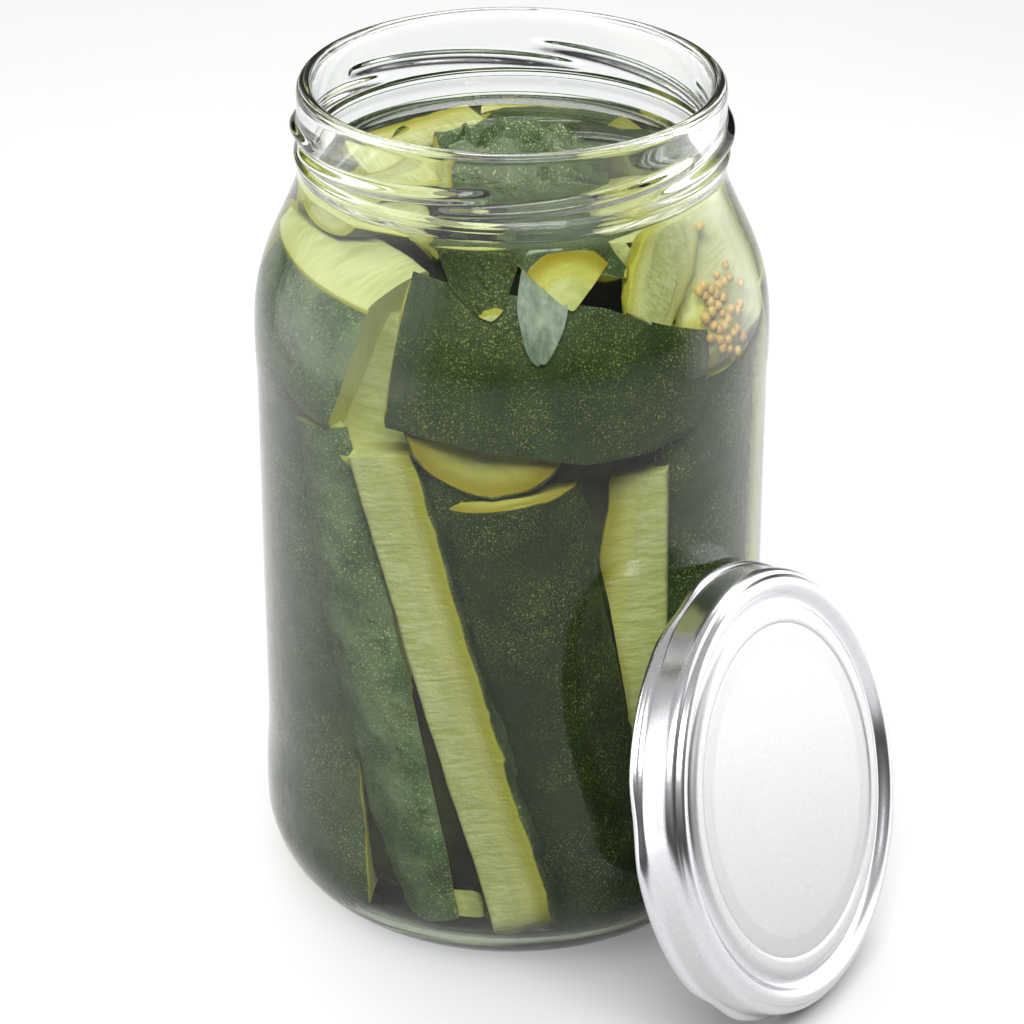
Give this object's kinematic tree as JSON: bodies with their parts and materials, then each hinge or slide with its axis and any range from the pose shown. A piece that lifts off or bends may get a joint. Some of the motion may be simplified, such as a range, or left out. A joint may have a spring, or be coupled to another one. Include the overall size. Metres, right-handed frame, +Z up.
{
  "type": "preserving jar of pickled cucumbers",
  "caption": "Tall clear glass preserving jar with a multi-start threaded mouth, filled with cut pickled cucumbers in brine; its round metal twist-off lid leans against it.",
  "frame": {"origin": "on the surface that the jar stands on, under the middle of the whole object's box, leaning lid included; the jar's own axis is at x -0.0129, y 0.0177", "axes": "+Z up along the jar's axis; the pictured front looks towards -Y, with the leaning lid at the front right, towards +X and -Y"},
  "size_m": [0.1244, 0.134, 0.167],
  "materials": {
    "glass": "clear flint glass with a faint green-grey tint, smooth and glossy",
    "cucumber": "wet pickled cucumber: dark speckled green skin and pale yellow-green cut flesh",
    "lid_metal": "plain silver tinplate, satin panel and glossy rolled edge"
  },
  "bodies": {
    "root": {"jar": "glass", "pickles": "cucumber", "lid": "lid_metal"}
  },
  "joints": []
}
